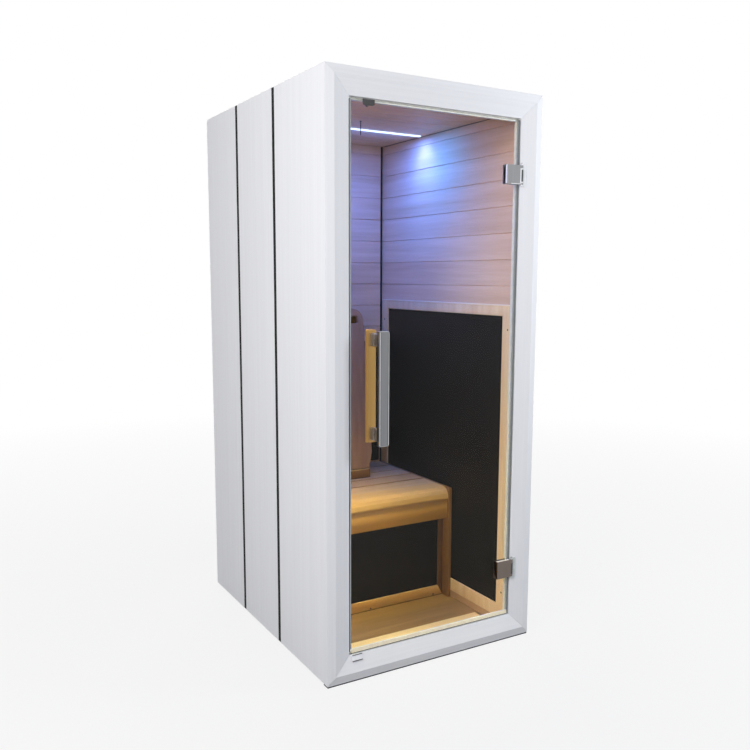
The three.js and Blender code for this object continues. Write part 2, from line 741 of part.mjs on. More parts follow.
function buildGlass(parent) {
  const pane = prism(
    "y",
    rectangle([-glassRight, glassRight], [glassBottom, glassTop], GLASS_CORNER_RADIUS),
    [glassFront, glassRear],
  );
  const through = [glassFront - OVERRUN, glassRear + OVERRUN];
  const notches = Object.values(hingeHeights).map((z) =>
    box([glassRight - GLASS_NOTCH_DEPTH, glassRight + OVERRUN], through, span(z, GLASS_NOTCH_HEIGHT)),
  );
  const holes = Object.values(standoffHeights).map((z) =>
    rod("y", [handleX, z], NECK_RADIUS + NECK_CLEARANCE, through),
  );
  const catchHole = rod("y", topCatchMiddle, CATCH_STUD_RADIUS + NECK_CLEARANCE, through);
  add(parent, "door_glass", cut(pane, ...notches, ...holes, catchHole), "glass");
}

function buildGasket(parent) {
  const outerX = openingRight - STOP_FACE + GASKET_WIDTH;
  const innerX = openingRight - STOP_FACE;
  const outerZ = [openingBottom + STOP_FACE - GASKET_WIDTH, openingTop - STOP_FACE + GASKET_WIDTH];
  const innerZ = [openingBottom + STOP_FACE, openingTop - STOP_FACE];
  const ring = prism("y", rectangle([-outerX, outerX], outerZ), [stopFront - GASKET_THICKNESS, stopFront], {
    holes: [rectangle([-innerX, innerX], innerZ)],
  });
  add(parent, "door_gasket", ring, "gasket");
}

// A glass hinge turns on a pin. Its leaf clamps the glass through a notch,
// and its bracket sits on the frame's slope.
function buildHinge(doorGroup, frameGroup, name, z) {
  const [pivotX, pivotY] = pivot;
  const leafX = [pivotX - LEAF_WIDTH, glassRight];
  const leafZ = span(z, LEAF_HEIGHT);
  const rearX = [leafX[0], openingRight - STOP_FACE - REAR_PLATE_CLEARANCE];
  const webX = [glassRight - GLASS_NOTCH_DEPTH + NOTCH_CLEARANCE, glassRight];
  const webZ = span(z, GLASS_NOTCH_HEIGHT - 2 * NOTCH_CLEARANCE);
  const plateFront = glassFront - LEAF_FRONT_THICKNESS;
  const plateRear = glassRear + LEAF_REAR_THICKNESS;
  const bracketZ = [leafZ[0] - FIT - BRACKET_KNUCKLE_LENGTH, leafZ[1] + FIT + BRACKET_KNUCKLE_LENGTH];
  const bore = rod("z", pivot, PIN_RADIUS + PIN_CLEARANCE, [bracketZ[0] - OVERRUN, bracketZ[1] + OVERRUN]);

  const frontPlate = box(leafX, [plateFront, glassFront], leafZ);
  const rearPlate = prism("y", rectangle(rearX, leafZ, LEAF_CORNER_RADIUS), [glassRear, plateRear]);
  const web = box(webX, [plateFront + OVERRUN, glassRear], webZ);
  const clampWeb = box([webX[0], rearX[1]], [plateFront + OVERRUN, plateRear - OVERRUN], webZ);
  const arm = box([webX[0], pivotX], [plateFront, openingEdge - LEAF_ARM_SETBACK], leafZ);
  const knuckle = rod("z", pivot, KNUCKLE_RADIUS, leafZ);
  const leaf = cut(join(frontPlate, rearPlate, web, clampWeb, arm, knuckle), bore);
  add(doorGroup, `${name}_hinge_leaf`, leaf, "steel");

  // The bracket is made on the slope: x runs along it from the opening's edge, and -y stands off it.
  const slope = new THREE.Matrix4().makeRotationZ(-slopeAngle).setPosition(openingRight, openingEdge, 0);
  const plateX = [BRACKET_START, BRACKET_START + BRACKET_WIDTH];
  const plateY = [-FIT - BRACKET_THICKNESS, -FIT];
  const plate = prism("y", rectangle(plateX, bracketZ, LEAF_CORNER_RADIUS), plateY);
  plate.applyMatrix4(slope);
  const lowKnuckle = rod("z", pivot, KNUCKLE_RADIUS, [bracketZ[0], leafZ[0] - FIT]);
  const highKnuckle = rod("z", pivot, KNUCKLE_RADIUS, [leafZ[1] + FIT, bracketZ[1]]);
  const room = rod("z", pivot, KNUCKLE_RADIUS + KNUCKLE_ROOM, [leafZ[0] - FIT, leafZ[1] + FIT]);
  const bracket = cut(join(plate, lowKnuckle, highKnuckle), bore, room);
  add(frameGroup, `${name}_hinge_bracket`, bracket, "white");

  const headBottom = bracketZ[1] + FIT;
  const shank = rod("z", pivot, PIN_RADIUS, [bracketZ[0], headBottom]);
  const head = rod("z", pivot, PIN_HEAD_RADIUS, [headBottom, headBottom + PIN_HEAD_HEIGHT]);
  add(frameGroup, `${name}_hinge_pin`, join(shank, head), "chrome");
}

function buildHandles(parent) {
  const length = span(handleZ, HANDLE_LENGTH);
  const outerRear = glassFront - OUTER_STANDOFF_LENGTH;
  const innerFront = glassRear + INNER_STANDOFF_LENGTH;
  const outerSection = rectangle(
    span(handleX, OUTER_HANDLE_WIDTH),
    [outerRear - OUTER_HANDLE_DEPTH, outerRear],
    OUTER_HANDLE_RADIUS,
  );
  add(parent, "outer_handle", prism("z", outerSection, length, { edge: HANDLE_END_RADIUS }), "aluminium");
  const innerSection = rectangle(
    span(handleX, INNER_HANDLE_WIDTH),
    [innerFront, innerFront + INNER_HANDLE_DEPTH],
    INNER_HANDLE_RADIUS,
  );
  add(parent, "inner_handle", prism("z", innerSection, length, { edge: HANDLE_END_RADIUS }), "wood");

  for (const [name, z] of Object.entries(standoffHeights)) {
    const section = rectangle(span(handleX, STANDOFF_WIDTH), span(z, STANDOFF_HEIGHT), STANDOFF_RADIUS);
    const outer = prism("y", section, [outerRear, glassFront]);
    const inner = prism("y", section, [glassRear, innerFront]);
    const neck = rod("y", [handleX, z], NECK_RADIUS, [outerRear + OVERRUN, innerFront - OVERRUN]);
    add(parent, `${name}_standoff`, join(outer, neck, inner), "chrome");
  }
}

function buildCatches(doorGroup, frameGroup) {
  const [middleX, middleZ] = topCatchMiddle;
  const catchTop = glassTop;
  const face = outline([
    [topCatchLeft, catchTop],
    [topCatchLeft, catchTop - TOP_CATCH_HEIGHT, TOP_CATCH_RADIUS],
    [topCatchLeft + TOP_CATCH_WIDTH, catchTop - TOP_CATCH_HEIGHT, TOP_CATCH_RADIUS],
    [topCatchLeft + TOP_CATCH_WIDTH, catchTop],
  ]);
  const plate = prism("y", face, [glassFront - TOP_CATCH_THICKNESS, glassFront]);
  const stud = rod("y", [middleX, middleZ], CATCH_STUD_RADIUS, [glassFront - OVERRUN, glassRear + OVERRUN]);
  const buttonSpan = [glassRear, glassRear + CATCH_BUTTON_THICKNESS];
  const button = rod("y", [middleX, middleZ], CATCH_BUTTON_RADIUS, buttonSpan);
  add(doorGroup, "top_catch", join(plate, stud, button), "darkPlastic");

  // The lower catch is a ribbed plate on the sill's slope, below the door.
  const low = SILL_CATCH_START;
  const high = SILL_CATCH_START + SILL_CATCH_LENGTH;
  const flat = FIT + SILL_CATCH_THICKNESS;
  const ribbed = outline([
    [-FIT, -low],
    [-flat - SILL_CATCH_RIB, -low],
    [-flat - SILL_CATCH_RIB, -low - SILL_CATCH_RIB],
    [-flat, -low - SILL_CATCH_RIB],
    [-flat, -high + SILL_CATCH_RIB],
    [-flat - SILL_CATCH_RIB, -high + SILL_CATCH_RIB],
    [-flat - SILL_CATCH_RIB, -high],
    [-FIT, -high],
  ]);
  const slope = group(frameGroup);
  slope.position.set(-openingRight + SILL_CATCH_FROM_EDGE, openingEdge, openingBottom);
  slope.rotation.x = -slopeAngle;
  add(slope, "sill_catch", prism("x", ribbed, [0, SILL_CATCH_WIDTH]), "chrome");
}

function buildCeilingFittings(parent) {
  const lightY = span(roomRear - LIGHT_FROM_REAR, LIGHT_WIDTH);
  const lightSection = outline([
    [lightY[0], ceiling],
    [lightY[0], ceiling - LIGHT_HEIGHT, LIGHT_RADIUS],
    [lightY[1], ceiling - LIGHT_HEIGHT, LIGHT_RADIUS],
    [lightY[1], ceiling],
  ]);
  const lightEnd = roomRight - LIGHT_END_GAP;
  add(parent, "ceiling_light", prism("x", lightSection, [-lightEnd, lightEnd]), "light");

  const probe = [PROBE_X, roomRear - PROBE_FROM_REAR];
  const rosette = rod("z", probe, PROBE_ROSETTE_RADIUS, [ceiling - PROBE_ROSETTE_HEIGHT, ceiling]);
  const stem = rod("z", probe, PROBE_RADIUS, [ceiling - PROBE_LENGTH, ceiling - PROBE_ROSETTE_HEIGHT / 2]);
  add(parent, "temperature_probe", join(rosette, stem), "darkPlastic");
}

function buildControls(parent) {
  const wall = -roomRight;
  const face = wall + CONTROL_THICKNESS;
  const panelY = [frameBack + CONTROL_FROM_FRONT, frameBack + CONTROL_FROM_FRONT + CONTROL_WIDTH];
  const panelZ = [floorTop + CONTROL_ABOVE_FLOOR, floorTop + CONTROL_ABOVE_FLOOR + CONTROL_HEIGHT];
  const middle = (panelY[0] + panelY[1]) / 2;
  const displayTop = panelZ[1] - DISPLAY_FROM_TOP;
  const buttonZ = panelZ[0] + BUTTON_FROM_BOTTOM;
  const buttonEnd = face - BUTTON_DEPTH;
  const pocket = [buttonEnd - BUTTON_TRAVEL - BUTTON_CLEARANCE, face + OVERRUN];
  const buttonY = BUTTON_NAMES.map((_, i) => middle + (i - (BUTTON_NAMES.length - 1) / 2) * BUTTON_PITCH);

  const body = prism("x", rectangle(panelY, panelZ, CONTROL_RADIUS), [wall, face]);
  const display = box(
    [face - DISPLAY_DEPTH, face + OVERRUN],
    span(middle, DISPLAY_WIDTH),
    [displayTop - DISPLAY_HEIGHT, displayTop],
  );
  const pockets = buttonY.map((y) => rod("x", [y, buttonZ], BUTTON_RADIUS + BUTTON_CLEARANCE, pocket));
  add(parent, "control_panel", cut(body, display, ...pockets), "darkPlastic");
  buttonY.forEach((y, i) => {
    const button = rod("x", [y, buttonZ], BUTTON_RADIUS, [buttonEnd, face + BUTTON_PROUD]);
    add(parent, BUTTON_NAMES[i], button, "grey");
  });
}

function buildSupply(parent) {
  const unitDepth = [roomRear - POWER_UNIT_DEPTH, roomRear];
  const unitHeight = [floorTop, floorTop + POWER_UNIT_HEIGHT];
  const unitFace = rectangle(span(0, POWER_UNIT_WIDTH), unitHeight, POWER_UNIT_RADIUS);
  add(parent, "power_unit", prism("y", unitFace, unitDepth), "grey");

  const axis = [right - GLAND_FROM_SIDE, bottom + GLAND_HEIGHT];
  const flangeEnd = rear + GLAND_FLANGE_LENGTH;
  const bodyEnd = flangeEnd + GLAND_BODY_LENGTH;
  const flange = rod("y", axis, GLAND_FLANGE_RADIUS, [rear, flangeEnd]);
  const body = rod("y", axis, GLAND_BODY_RADIUS, [rear + OVERRUN, bodyEnd]);
  const bore = rod("y", axis, GLAND_BORE_RADIUS, [flangeEnd, bodyEnd + OVERRUN]);
  add(parent, "cable_gland", cut(join(flange, body), bore), "black");
}

const shell = group();
buildBase(shell);
buildShell(shell);
buildFrontFrame(shell);

const room = group();
buildLinings(room);
buildHeaters(room);
buildCeilingFittings(room);
buildControls(room);
buildSupply(room);

const bench = group();
buildBench(bench);
buildBackrest(bench);

const door = group();
buildGlass(door);
buildGasket(shell);
for (const [name, z] of Object.entries(hingeHeights)) {
  buildHinge(door, shell, name, z);
}
buildHandles(door);
buildCatches(door, shell);

export default cabin;
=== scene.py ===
import math

import bmesh
import bpy
from mathutils import Matrix, Vector


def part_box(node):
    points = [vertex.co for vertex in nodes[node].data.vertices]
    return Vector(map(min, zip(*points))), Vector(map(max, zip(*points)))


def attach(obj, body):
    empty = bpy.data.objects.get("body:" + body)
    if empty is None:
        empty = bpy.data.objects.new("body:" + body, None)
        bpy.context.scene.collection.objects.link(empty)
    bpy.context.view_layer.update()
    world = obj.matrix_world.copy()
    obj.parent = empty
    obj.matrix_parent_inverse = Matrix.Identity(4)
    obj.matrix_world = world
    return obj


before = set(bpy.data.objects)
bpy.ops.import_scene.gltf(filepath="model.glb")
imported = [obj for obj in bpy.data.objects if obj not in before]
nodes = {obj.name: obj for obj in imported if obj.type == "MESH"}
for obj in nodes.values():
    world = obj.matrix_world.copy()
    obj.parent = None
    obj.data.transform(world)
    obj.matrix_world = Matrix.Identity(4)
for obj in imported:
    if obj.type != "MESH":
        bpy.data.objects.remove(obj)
scene = bpy.context.scene
scene.view_settings.view_transform = "Standard"
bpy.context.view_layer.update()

BOARD_PITCH = 0.095
SHARP_ANGLE = math.radians(35)
SIDES = ((-1, "left"), (1, "right"))


# Materials


class Surface:
    """A procedural material: textures in the part's own frame feed one Principled shader."""

    def __init__(self, name):
        self.material = bpy.data.materials.new(name)
        self.material.use_nodes = True
        self.tree = self.material.node_tree
        self.shader = self.tree.nodes["Principled BSDF"]
        self.coords = self.node("ShaderNodeTexCoord").outputs["Object"]

    def node(self, kind, inputs=None, **settings):
        made = self.tree.nodes.new(kind)
        for key, value in settings.items():
            setattr(made, key, value)
        for key, value in (inputs or {}).items():
            if isinstance(value, bpy.types.NodeSocket):
                self.tree.links.new(value, made.inputs[key])
            else:
                made.inputs[key].default_value = value
        return made

    def set(self, **sockets):
        for key, value in sockets.items():
            socket = self.shader.inputs[key.replace("_", " ")]
            if isinstance(value, bpy.types.NodeSocket):
                self.tree.links.new(value, socket)
            else:
                socket.default_value = value

    def noise(self, scale, detail=4.0, roughness=0.55, distortion=0.0):
        """Noise whose features are about 1 / scale metres long on each axis."""
        stretch = self.node("ShaderNodeMapping", {"Vector": self.coords, "Scale": scale})
        inputs = {"Vector": stretch.outputs[0], "Scale": 1.0, "Detail": detail, "Roughness": roughness}
        inputs["Distortion"] = distortion
        return self.node("ShaderNodeTexNoise", inputs).outputs[0]

    def math(self, operation, a, b):
        return self.node("ShaderNodeMath", {0: a, 1: b}, operation=operation).outputs[0]

    def ramp(self, value, stops):
        made = self.node("ShaderNodeValToRGB", {0: value})
        band = made.color_ramp
        band.elements[0].position, band.elements[0].color = stops[0][0], (*stops[0][1], 1)
        band.elements[1].position, band.elements[1].color = stops[-1][0], (*stops[-1][1], 1)
        for place, colour in stops[1:-1]:
            band.elements.new(place).color = (*colour, 1)
        return made.outputs[0]

    def spread(self, value, low, high):
        inputs = {"Value": value, "To Min": low, "To Max": high}
        return self.node("ShaderNodeMapRange", inputs).outputs[0]

    def bump(self, height, strength, distance):
        inputs = {"Height": height, "Strength": strength, "Distance": distance}
        self.set(Normal=self.node("ShaderNodeBump", inputs).outputs[0])


def srgb(red, green, blue):
    """An 8-bit colour as the linear values that the shaders take."""
    return tuple(((v / 255 + 0.055) / 1.055) ** 2.4 if v > 10 else v / 255 / 12.92 for v in (red, green, blue))


def along(axis, lengthwise, across):
    return tuple(lengthwise if name == axis else across for name in "xyz")


def wood(name, dark, light, axis, rough=0.5, board=None, contrast=0.5, bump=0.12, figures=26.0, specular=0.5):
    """Timber with its grain along an axis. board is (axis, first joint, pitch) where boards lie side by side."""
    surface = Surface(name)
    figure = surface.noise(along(axis, 1.3, figures), 5.0, 0.6, 0.35)
    fibre = surface.noise(along(axis, 7.0, 420.0), 3.0, 0.6)
    value = surface.math("MULTIPLY_ADD", fibre, 0.3)
    surface.tree.links.new(surface.math("MULTIPLY", figure, 0.7), value.node.inputs[2])
    if board:
        board_axis, first, pitch = board
        split = surface.node("ShaderNodeSeparateXYZ", {0: surface.coords})
        place = surface.math("SUBTRACT", split.outputs["xyz".index(board_axis)], first)
        index = surface.math("FLOOR", surface.math("DIVIDE", place, pitch), 0.0)
        tone = surface.node("ShaderNodeTexWhiteNoise", {"W": index}, noise_dimensions="1D").outputs[0]
        value = surface.math("ADD", value, surface.spread(tone, -0.09, 0.09))
    low, high = 0.5 - contrast / 2, 0.5 + contrast / 2
    surface.set(Base_Color=surface.ramp(value, [(low, dark), (high, light)]))
    surface.set(Roughness=surface.spread(fibre, rough - 0.1, rough + 0.1), Specular_IOR_Level=specular)
    surface.bump(fibre, bump, 0.0006)
    return surface.material


def plain(name, colour, rough, metallic=0.0, grain=(60.0, 60.0, 60.0), shade=0.08, bump=0.05, specular=0.5):
    """A moulded, painted or metal surface with slight mottling, uneven gloss and a fine texture."""
    surface = Surface(name)
    mottle = surface.noise(grain, 4.0)
    wear = surface.noise(tuple(8 * g for g in grain), 2.0)
    dark = tuple(c * (1 - shade) for c in colour)
    light = tuple(min(1.0, c * (1 + shade)) for c in colour)
    surface.set(Base_Color=surface.ramp(mottle, [(0.3, dark), (0.7, light)]))
    surface.set(Roughness=surface.spread(wear, max(0.02, rough - 0.06), rough + 0.06))
    surface.set(Metallic=metallic, Specular_IOR_Level=specular)
    surface.bump(wear, bump, 0.0004)
    return surface.material


ceiling_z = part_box("ceiling_lining")[0].z
wall_boards = ("z", ceiling_z - 0.037, BOARD_PITCH)
white_low, white_high = srgb(220, 220, 224), srgb(234, 234, 238)
white_paint = {"rough": 0.45, "contrast": 0.8, "bump": 0.2, "figures": 70.0, "specular": 0.2}
pine_low, pine_high = srgb(202, 160, 126), srgb(236, 204, 174)

white_upright = wood("white_upright", white_low, white_high, "z", **white_paint)
white_across = wood("white_across", white_low, white_high, "x", **white_paint)
wall_pine = wood("wall_pine", pine_low, pine_high, "y", 0.5, wall_boards)
rear_pine = wood("rear_pine", pine_low, pine_high, "x", 0.5, wall_boards)
ceiling_pine = wood("ceiling_pine", pine_low, pine_high, "x", 0.5, ("y", 0.358, BOARD_PITCH))
floor_pine = wood("floor_pine", srgb(120, 91, 57), srgb(170, 134, 95), "x", 0.5)
bench_pine = wood("bench_pine", srgb(198, 152, 104), srgb(232, 196, 148), "x", 0.42, ("y", -0.018, BOARD_PITCH))
front_pine = wood("front_pine", srgb(206, 156, 92), srgb(236, 196, 132), "x", 0.42)
trim_pine = wood("trim_pine", srgb(224, 182, 132), srgb(250, 222, 176), "z", 0.45)
# Painted shade: the bench gables are pine darkened for their faces in shade.
gable_painted_shade = wood("gable_painted_shade", srgb(120, 84, 47), srgb(152, 112, 70), "z", 0.5)
# Painted shade: the apron is a darker, yellower pine than the nosing, for the shade under it.
apron_painted_shade = wood("apron_painted_shade", srgb(196, 144, 74), srgb(216, 166, 94), "x", 0.45, contrast=0.8)
# Painted shade: the backrest's stand is a darker brown, for its foot rail lying out of the light.
stand_painted_shade = wood("stand_painted_shade", srgb(134, 91, 48), srgb(168, 121, 72), "x", 0.5)
shaded_pine = wood("shaded_pine", srgb(84, 58, 38), srgb(116, 84, 56), "z", 0.5)
handle_pine = wood("handle_pine", srgb(178, 131, 66), srgb(206, 162, 94), "z", 0.45)
backrest_brown = wood("backrest_brown", srgb(160, 120, 92), srgb(198, 156, 126), "z", 0.5)
black_trim = plain("black_trim", srgb(22, 22, 25), 0.6)
seam_black = plain("seam_black", srgb(11, 11, 12), 0.7, specular=0.15)
heater_black = plain("heater_black", srgb(23, 22, 20), 0.5, grain=(2.2, 2.2, 2.2), shade=0.25,
                     bump=0.01, specular=0.15)
hinge_steel = plain("hinge_steel", srgb(156, 157, 160), 0.32, 1.0, (300.0, 12.0, 12.0), 0.05)
# Painted shade: the bottom hinge is the top hinge's steel, darkened for the darker reflections it shows low on the
# door.
hinge_steel_painted_shade = plain("hinge_steel_painted_shade", srgb(115, 105, 99), 0.32, 1.0, (300.0, 12.0, 12.0), 0.05)
# Painted shade for the hinges' knuckle slots and the outer handle's grooves.
groove_painted_shade = plain("groove_painted_shade", srgb(58, 59, 62), 0.5)
hinge_white = plain("hinge_white", srgb(232, 232, 236), 0.4)
# Painted highlight along the bottom hinge leaf's top edge.
hinge_painted_highlight = plain("hinge_painted_highlight", srgb(226, 216, 200), 0.4)
bracket_grey = plain("bracket_grey", srgb(202, 206, 206), 0.4)
chrome = plain("chrome", srgb(176, 178, 182), 0.16, 1.0, bump=0.02)
satin_chrome = plain("satin_chrome", srgb(214, 215, 219), 0.42, 1.0, bump=0.02)
# Painted highlight for rounded metal edges and the outer handle's edge lines.
edge_painted_highlight = plain("edge_painted_highlight", srgb(214, 215, 217), 0.25, 1.0, bump=0.02)
aluminium = plain("aluminium", srgb(131, 133, 136), 0.34, 1.0, (400.0, 400.0, 6.0), 0.06)
dark_plastic = plain("dark_plastic", srgb(58, 58, 60), 0.45)
button_grey = plain("button_grey", srgb(150, 152, 156), 0.45)
unit_grey = plain("unit_grey", srgb(140, 143, 148), 0.5)
seal_grey = plain("seal_grey", srgb(244, 244, 240), 0.5)
# The door sweep's cream tint is painted warm light from inside the cabin.
sweep_cream_painted_light = plain("sweep_cream_painted_light", srgb(254, 238, 208), 0.35)
display_black = plain("display_black", srgb(14, 15, 18), 0.12, bump=0.01)


def clear_glass():
    """Thin clear glass: light and shadow rays pass straight through, it mirrors a little and bears a faint film."""
    surface = Surface("clear_glass")
    tree = surface.tree
    tree.nodes.remove(surface.shader)
    smear = surface.noise((3.0, 3.0, 3.0), 3.0)
    tint = surface.ramp(smear, [(0.3, (0.955, 0.965, 0.96)), (0.7, (0.985, 0.99, 0.985))])
    through = surface.node("ShaderNodeBsdfTransparent", {0: tint}).outputs[0]
    film = surface.node("ShaderNodeBsdfDiffuse", {"Color": (0.85, 0.83, 0.8, 1), "Roughness": 0.5}).outputs[0]
    cover = surface.spread(smear, 0.004, 0.008)
    filmed = surface.node("ShaderNodeMixShader", {0: cover, 1: through, 2: film}).outputs[0]
    mirror = surface.node("ShaderNodeBsdfGlossy", {"Roughness": 0.0}).outputs[0]
    slant = surface.math("POWER", surface.node("ShaderNodeLayerWeight", {"Blend": 0.5}).outputs["Facing"], 5.0)
    rim = surface.spread(slant, 0.0025, 0.4)
    mix = surface.node("ShaderNodeMixShader", {0: rim, 1: filmed, 2: mirror}).outputs[0]
    tree.links.new(mix, tree.nodes["Material Output"].inputs[0])
    return surface.material


def glowing(name, colour, glow, strength):
    surface = Surface(name)
    cloud = surface.noise((90.0, 90.0, 90.0), 2.0)
    surface.set(Base_Color=surface.ramp(cloud, [(0.3, colour), (0.7, tuple(min(1.0, c * 1.05) for c in colour))]))
    surface.set(Roughness=surface.spread(cloud, 0.25, 0.4), Emission_Color=(*glow, 1), Emission_Strength=strength)
    surface.bump(cloud, 0.02, 0.0003)
    return surface.material


glass_clear = clear_glass()
glass_edge = plain("glass_edge", srgb(132, 136, 138), 0.15, bump=0.01)
glass_arris = plain("glass_arris", srgb(158, 161, 162), 0.2, bump=0.01)
# The pane's top and bottom edges are painted pale cream as lit from inside.
glass_edge_painted_light = plain("glass_edge_painted_light", srgb(226, 222, 208), 0.2, bump=0.01)
light_white = glowing("light_white", (0.9, 0.93, 1.0), (0.6, 0.76, 1.0), 1.7)


# CAD pieces

node_materials = {
    white_upright: ["left_panel_rear", "left_panel_middle", "left_panel_front", "right_panel_rear",
                    "right_panel_middle", "right_panel_front", "rear_panel", "front_stile_left", "front_stile_right"],
    white_across: ["roof_panel", "front_head", "front_sill"],
    black_trim: ["base_plinth", "left_seam_rear", "left_seam_front", "right_seam_rear", "right_seam_front",
                 "cable_gland"],
    seam_black: ["left_corner_strip", "right_corner_strip"],
    wall_pine: ["left_lining", "right_lining"],
    rear_pine: ["rear_lining"],
    ceiling_pine: ["ceiling_lining"],
    floor_pine: ["floor_panel"],
    bench_pine: ["bench_seat"],
    front_pine: ["bench_nosing", "calf_heater_trim"],
    apron_painted_shade: ["bench_apron"],
    trim_pine: ["left_heater_trim", "right_heater_trim"],
    gable_painted_shade: ["bench_gable_left", "bench_gable_right"],
    handle_pine: ["inner_handle"],
    backrest_brown: ["backrest_board"],
    stand_painted_shade: ["backrest_stand"],
    heater_black: ["left_heater", "right_heater", "rear_heater", "calf_heater"],
    hinge_steel: ["top_hinge_leaf"],
    hinge_steel_painted_shade: ["bottom_hinge_leaf"],
    hinge_white: ["top_hinge_bracket", "sill_catch"],
    bracket_grey: ["bottom_hinge_bracket"],
    chrome: ["top_hinge_pin", "bottom_hinge_pin"],
    satin_chrome: ["top_standoff", "bottom_standoff"],
    aluminium: ["outer_handle"],
    dark_plastic: ["top_catch", "temperature_probe", "control_panel"],
    button_grey: ["power_button", "warmer_button", "cooler_button"],
    unit_grey: ["power_unit"],
    seal_grey: ["door_gasket"],
    light_white: ["ceiling_light"],
    glass_clear: ["door_glass"],
}
for material, names in node_materials.items():
    for name in names:
        mesh = nodes[name].data
        mesh.materials.clear()
        mesh.materials.append(material)
        mesh.shade_smooth()
        mesh.set_sharp_from_angle(angle=SHARP_ANGLE)

# The pane's upright edges take the grey edge; its top and bottom edges take the pale painted light.
pane = nodes["door_glass"].data
pane.materials.append(glass_edge)
pane.materials.append(glass_edge_painted_light)
for face in pane.polygons:
    face.material_index = 0 if abs(face.normal.y) > 0.5 else 1 if abs(face.normal.x) > 0.5 else 2

# The gasket's upright at the hinges lies in the frame's shade.
seal_shade = plain("seal_shade", srgb(212, 212, 210), 0.5)
seal = nodes["door_gasket"].data
seal.materials.append(seal_shade)
for face in seal.polygons:
    face.material_index = 1 if face.center.x > 0.3 else 0

# The door stop's inner edge at the hinges is painted creamier than the frame's face: painted shade that takes out the
# blue light falling on it.
stop_painted_shade = plain("stop_painted_shade", srgb(228, 225, 205), 0.5)
glass_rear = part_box("door_glass")[1].y
stop = nodes["front_stile_right"].data
stop.materials.append(stop_painted_shade)
for face in stop.polygons:
    face.material_index = 1 if face.normal.x < -0.9 and face.center.y > glass_rear else 0

# The foot of each side trim is painted darker: painted shade, the same pine in shade.
TOE_HEIGHT = 0.0281
toe_painted_shade = wood("toe_painted_shade", srgb(190, 150, 112), srgb(224, 188, 150), "y", 0.5)
for name in ("left_heater_trim", "right_heater_trim"):
    trim = nodes[name].data
    trim.materials.append(toe_painted_shade)
    toe_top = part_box(name)[0].z + TOE_HEIGHT
    for face in trim.polygons:
        face.material_index = 1 if max(trim.vertices[i].co.z for i in face.vertices) < toe_top else 0

# The two stiles of the calf heater's trim are painted darker: painted shade for the shade they lie in beside the
# gables.
near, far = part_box("calf_heater")
trim = nodes["calf_heater_trim"].data
trim.materials.append(shaded_pine)
for face in trim.polygons:
    beside = face.center.x < near.x or face.center.x > far.x
    face.material_index = 1 if beside and near.z < face.center.z < far.z else 0

# The lower catch's ribs are painted black as the shadows along its edges: they stand further off the sill's slope
# than its plate.
SILL_OUTWARD = Vector((0, -0.9628, 0.2703))
RIB_RISE = 0.0023
catch = nodes["sill_catch"].data
catch.materials.append(black_trim)
plate_level = min(SILL_OUTWARD.dot(point.co) for point in catch.vertices)
for face in catch.polygons:
    face.material_index = 1 if SILL_OUTWARD.dot(face.center) - plate_level > RIB_RISE else 0


def soften(name, width, highlight_material=None):
    """Rounds a CAD piece's sharp edges a little, for the light to catch. Edges given a painted highlight have their
    own brighter material.
    """
    weld = nodes[name].modifiers.new("weld", "WELD")
    weld.merge_threshold = 0.00002
    round_off = nodes[name].modifiers.new("round", "BEVEL")
    round_off.width = width
    round_off.segments = 2
    round_off.limit_method = "ANGLE"
    round_off.angle_limit = math.radians(40)
    if highlight_material:
        nodes[name].data.materials.append(highlight_material)
        round_off.material = 1


for name in ("top_standoff", "bottom_standoff"):
    soften(name, 0.0008)
for name in ("top_hinge_leaf", "bottom_hinge_leaf"):
    soften(name, 0.0014, edge_painted_highlight)
soften("outer_handle", 0.0012, edge_painted_highlight)
for name in ("left_heater_trim", "right_heater_trim", "calf_heater_trim", "bench_apron", "backrest_stand"):
    soften(name, 0.002)


# Pieces that only show


def show(name, mesh, material, body):
    """Adds a mesh to the scene as a piece that rides on a body."""
    mesh.materials.append(material)
    made = bpy.data.objects.new(name, mesh)
    scene.collection.objects.link(made)
    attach(made, body)
    return made


def piece(name, points, faces, material, body):
    mesh = bpy.data.meshes.new(name)
    mesh.from_pydata([tuple(p) for p in points], [], faces)
    return show(name, mesh, material, body)


def slab(name, low, high, edge, material, body):
    """A flat board with rounded edges."""
    grid = bmesh.new()
    bmesh.ops.create_cube(grid, size=1.0)
    for corner in grid.verts:
        corner.co = [low[i] if corner.co[i] < 0 else high[i] for i in range(3)]
    bmesh.ops.bevel(grid, geom=grid.edges[:], offset=edge, segments=2, affect="EDGES", profile=0.5)
    mesh = bpy.data.meshes.new(name)
    grid.to_mesh(mesh)
    grid.free()
    return show(name, mesh, material, body)


def screw(name, place, outward, radius, body, material=dark_plastic):
    """A screw head with a cross recess's rim, set on a face."""
    turn = Vector((0, 0, 1)).rotation_difference(Vector(outward)).to_matrix()
    rings = [(1.0, 0.0), (0.95, 0.18), (0.55, 0.28), (0.3, 0.05)]
    sides = 16
    points = []
    for reach, rise in rings:
        for side in range(sides):
            angle = 2 * math.pi * side / sides
            local = Vector((reach * math.cos(angle), reach * math.sin(angle), rise)) * radius
            points.append(Vector(place) + turn @ local)
    faces = []
    for ring in range(len(rings) - 1):
        for side in range(sides):
            after = (side + 1) % sides
            base = ring * sides
            faces.append((base + side, base + after, base + sides + after, base + sides + side))
    faces.append(tuple(range((len(rings) - 1) * sides, len(rings) * sides)))
    faces.append(tuple(reversed(range(sides))))
    made = piece(name, points, faces, material, body)
    made.data.shade_smooth()
    return made


